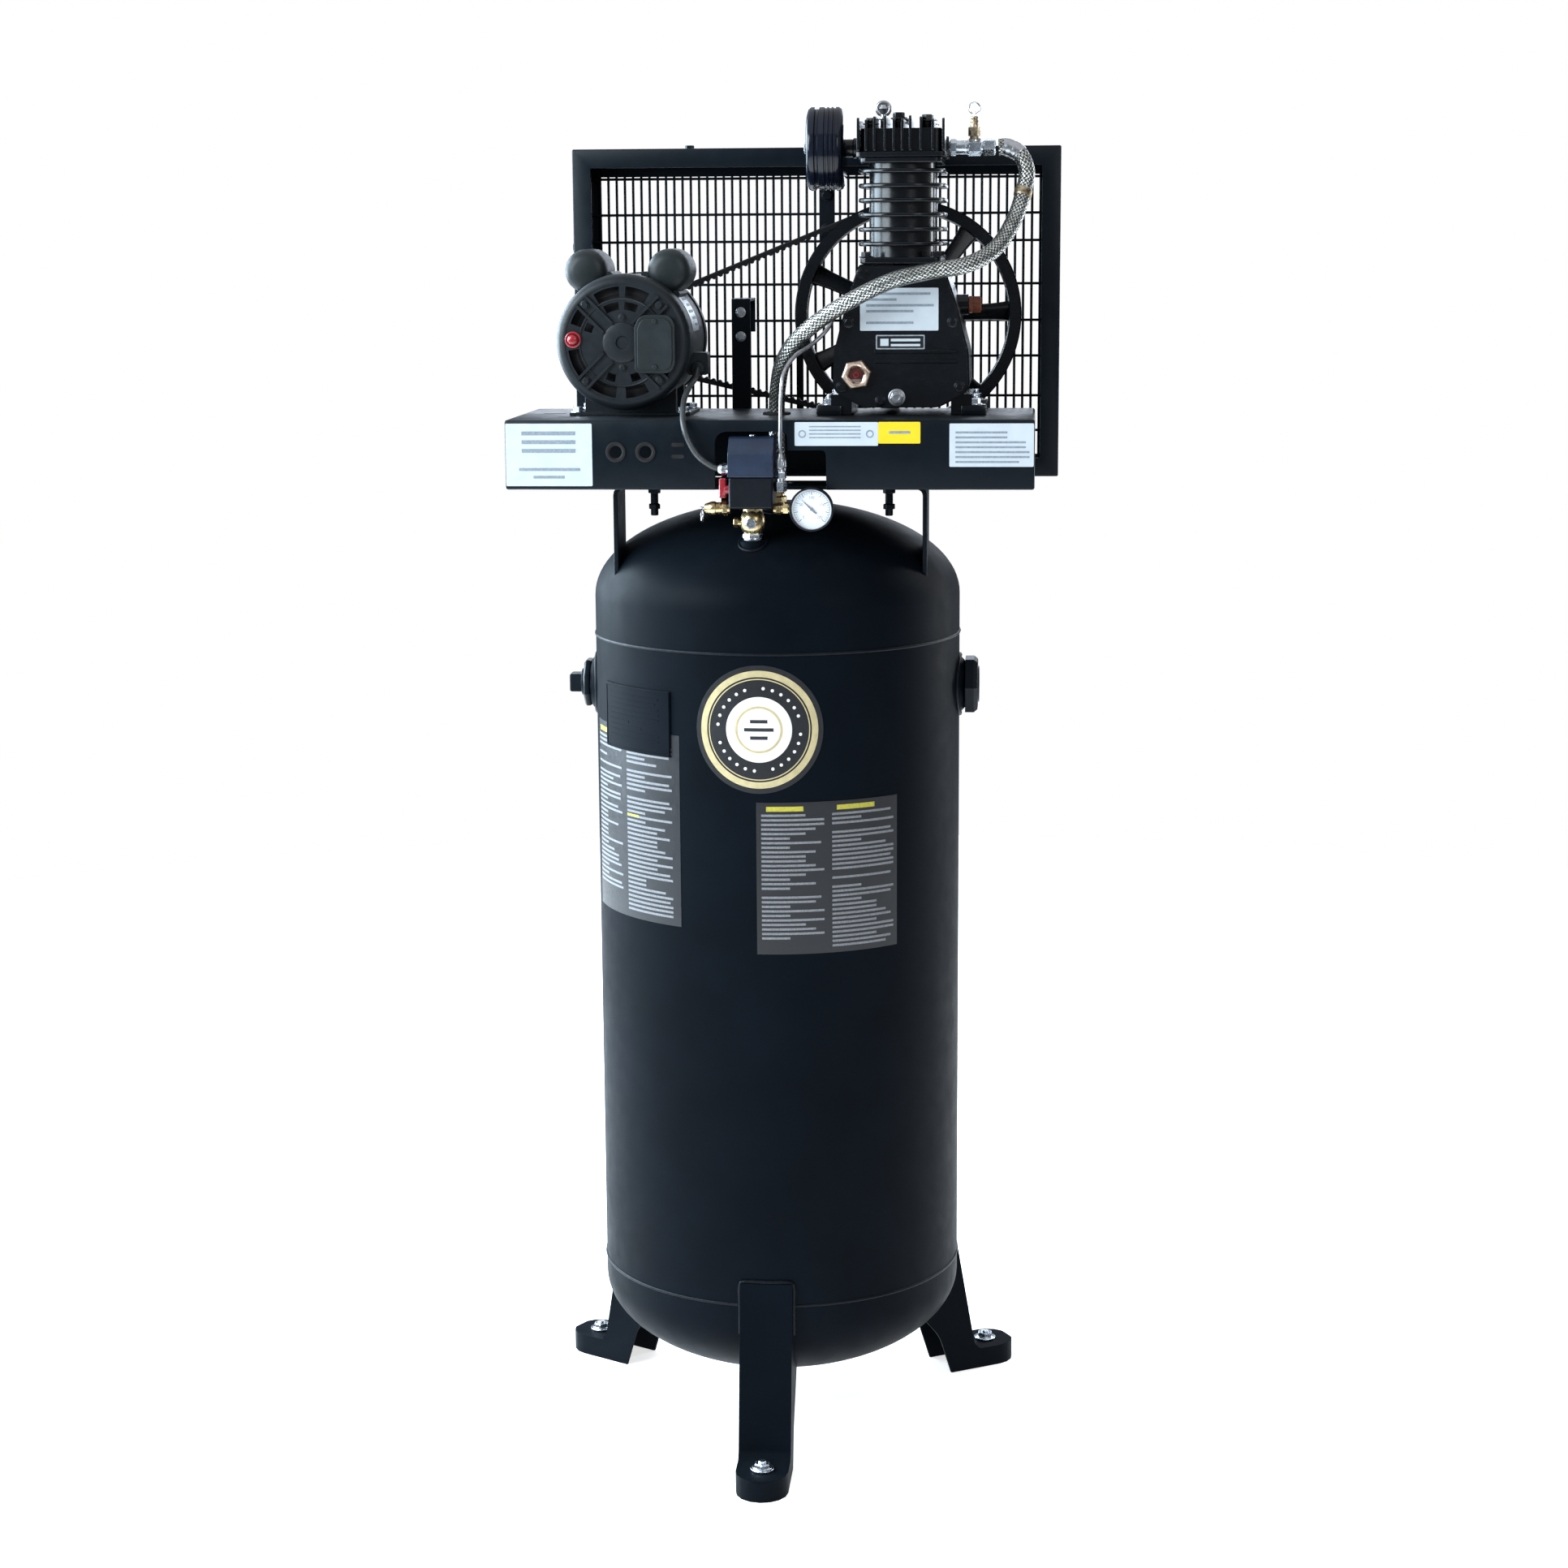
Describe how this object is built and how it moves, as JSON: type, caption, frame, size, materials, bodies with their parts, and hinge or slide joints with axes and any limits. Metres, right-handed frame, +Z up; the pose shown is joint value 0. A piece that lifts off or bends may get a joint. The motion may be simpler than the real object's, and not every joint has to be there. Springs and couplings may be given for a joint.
{
  "type": "air compressor",
  "caption": "Upright belt-driven air compressor: motor, finned pump and caged flywheel on a deck above a round tank on legs.",
  "frame": {"origin": "middle of the machine's footprint box, on the floor", "axes": "+Z up along the tank; -Y towards the front, where the pressure switch and gauge are; +X to the right as seen from the front, towards the pump"},
  "size_m": [0.734, 0.634, 1.8516],
  "materials": {
    "tank_paint": "satin black powder coat with light orange peel",
    "frame_paint": "satin blue-black powder coat",
    "motor_paint": "matte dark grey enamel",
    "pump_enamel": "glossy black engine enamel on cast iron",
    "zinc": "bright zinc plate",
    "steel": "machined steel",
    "brass": "machined brass, slightly dulled",
    "braid": "braided stainless wire",
    "rubber": "matte black rubber",
    "black_plastic": "fine-textured black moulding",
    "blue_plastic": "dark blue moulding",
    "red_plastic": "red moulding",
    "orange_plastic": "orange-red moulding",
    "glass": "clear",
    "dial": "white enamelled dial",
    "label": "printed vinyl label"
  },
  "bodies": {
    "frame": {"tank_shell": "tank_paint", "tank_top_head": "tank_paint", "tank_bottom_head": "tank_paint", "leg_front": "tank_paint", "leg_left": "tank_paint", "leg_right": "tank_paint", "side_plug_left": "frame_paint", "side_plug_right": "frame_paint", "deck": "frame_paint", "deck_bracket": "frame_paint", "deck_rear_post": "frame_paint", "guard_frame": "frame_paint", "guard_grille": "frame_paint", "guard_strap": "frame_paint", "motor_shell": "motor_paint", "motor_end_bell": "motor_paint", "motor_drive_bell": "motor_paint", "motor_base": "motor_paint", "capacitor_cover_left": "motor_paint", "capacitor_cover_right": "motor_paint", "terminal_cover": "motor_paint", "crankcase": "pump_enamel", "crankcase_cover": "pump_enamel", "cylinder_block": "pump_enamel", "cylinder_head": "pump_enamel", "foot_bolt_front": "zinc", "foot_bolt_left": "zinc", "foot_bolt_right": "zinc", "discharge_manifold": "zinc", "unloader_tube": "zinc", "motor_stator": "steel", "lifting_eye": "steel", "intake_pipe": "steel", "drain_valve": "brass", "switch_nipple": "brass", "check_valve": "brass", "oil_sight_glass": "brass", "head_relief_valve": "brass", "tank_relief_valve": "brass", "gauge_pipe": "brass", "discharge_hose": "braid", "drive_belt": "rubber", "motor_cable": "rubber", "air_filter": "black_plastic", "switch_base": "black_plastic", "gauge_case": "black_plastic", "switch_cover": "blue_plastic"},
    "crank": {"flywheel": "pump_enamel", "crankshaft": "steel"},
    "rotor": {"motor_rotor": "steel", "motor_pulley": "steel"},
    "front_piston": {"piston_front": "steel"},
    "rear_piston": {"piston_rear": "steel"},
    "lever": {"switch_lever": "red_plastic"},
    "tank_ring": {"tank_relief_ring": "steel"},
    "head_ring": {"head_relief_ring": "steel"},
    "needle": {"gauge_needle": "rubber"},
    "button": {"reset_button": "red_plastic"},
    "oil_cap": {"oil_fill_cap": "orange_plastic"},
    "drain_tap": {"drain_handle": "brass"}
  },
  "joints": [
    {"name": "crank_spin", "type": "hinge", "parent": "frame", "child": "crank", "pos_m": [0.155, 0.181, 1.5635], "axis": [0, 1, 0], "continuous": true},
    {"name": "motor_spin", "type": "hinge", "parent": "frame", "child": "rotor", "pos_m": [-0.212, 0.181, 1.536], "axis": [0, 1, 0], "continuous": true},
    {"name": "piston_front_slide", "type": "slide", "parent": "frame", "child": "front_piston", "axis": [0, 0, 1], "range_m": [-0.05, 0]},
    {"name": "piston_rear_slide", "type": "slide", "parent": "frame", "child": "rear_piston", "axis": [0, 0, 1], "range_m": [0, 0.05]},
    {"name": "switch_lever_turn", "type": "hinge", "parent": "frame", "child": "lever", "pos_m": [-0.0673, -0.141, 1.345], "axis": [1, 0, 0], "range_deg": [-25, 25]},
    {"name": "tank_relief_pull", "type": "slide", "parent": "frame", "child": "tank_ring", "axis": [-1, 0, 0], "range_m": [0, 0.003], "stiffness_N_per_m": 300},
    {"name": "head_relief_pull", "type": "slide", "parent": "frame", "child": "head_ring", "axis": [0, 0, 1], "range_m": [0, 0.003], "stiffness_N_per_m": 300},
    {"name": "gauge_needle_turn", "type": "hinge", "parent": "frame", "child": "needle", "pos_m": [0.042, -0.1522, 1.32], "axis": [0, 1, 0], "range_deg": [-88, 182]},
    {"name": "reset_button_press", "type": "slide", "parent": "frame", "child": "button", "axis": [0, 1, 0], "range_m": [0, 0.002], "stiffness_N_per_m": 300},
    {"name": "oil_cap_pull", "type": "slide", "parent": "frame", "child": "oil_cap", "axis": [1, 0, 0], "range_m": [0, 0.025]},
    {"name": "drain_handle_turn", "type": "hinge", "parent": "frame", "child": "drain_tap", "pos_m": [-0.022, 0.063, 0.03], "axis": [0, 0, 1], "range_deg": [0, 360]}
  ],
  "couplings": [
    {"joint": "motor_spin", "follows": "crank_spin", "ratio": 3.6}
  ]
}
